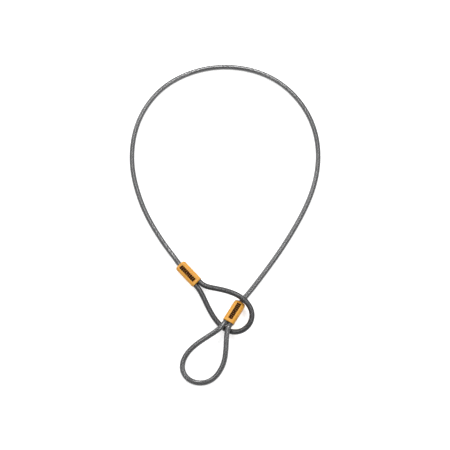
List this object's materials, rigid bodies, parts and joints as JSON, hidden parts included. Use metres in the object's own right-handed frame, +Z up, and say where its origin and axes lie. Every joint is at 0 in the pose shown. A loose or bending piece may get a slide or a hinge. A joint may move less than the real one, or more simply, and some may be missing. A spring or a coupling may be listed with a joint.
{
  "type": "looped security cable",
  "caption": "Vinyl-covered steel security cable with crimped eyes under orange covers, laid flat as a noose with its free end threaded through the other eye.",
  "frame": {"origin": "on the surface that the cable lies on, under the middle of the cable as laid out", "axes": "+Y from the two eyes to the far side of the noose, +X across the noose, +Z up from the surface"},
  "size_m": [0.1873, 0.326, 0.0152],
  "materials": {
    "cover": "satin moulded orange plastic",
    "ferrule": "pressed",
    "jacket": "smoke-grey vinyl, glossy, lets the rope's lay show",
    "rope": "galvanised stranded wire"
  },
  "bodies": {
    "held_end": {"span_jacket": "jacket", "span_rope": "rope", "cover_a": "cover", "ferrule_a": "ferrule", "eye_a_jacket": "jacket", "eye_a_rope": "rope"},
    "free_end": {"cover_b": "cover", "ferrule_b": "ferrule"},
    "free_eye": {"eye_b_jacket": "jacket", "eye_b_rope": "rope"}
  },
  "joints": [
    {"name": "noose_pull", "type": "slide", "parent": "held_end", "child": "free_end", "axis": [-0.4463, -0.7888, 0.4226], "range_m": [0, 0.02], "stiffness_N_per_m": 2, "deforming": ["span_jacket", "span_rope"]},
    {"name": "free_eye_lift", "type": "hinge", "parent": "free_end", "child": "free_eye", "pos_m": [0.00072, -0.11082, 0.01226], "axis": [-0.8704, 0.4924, 0], "range_deg": [0, 55], "stiffness_Nm_per_rad": 0.15, "deforming": ["eye_b_jacket", "eye_b_rope"]}
  ]
}
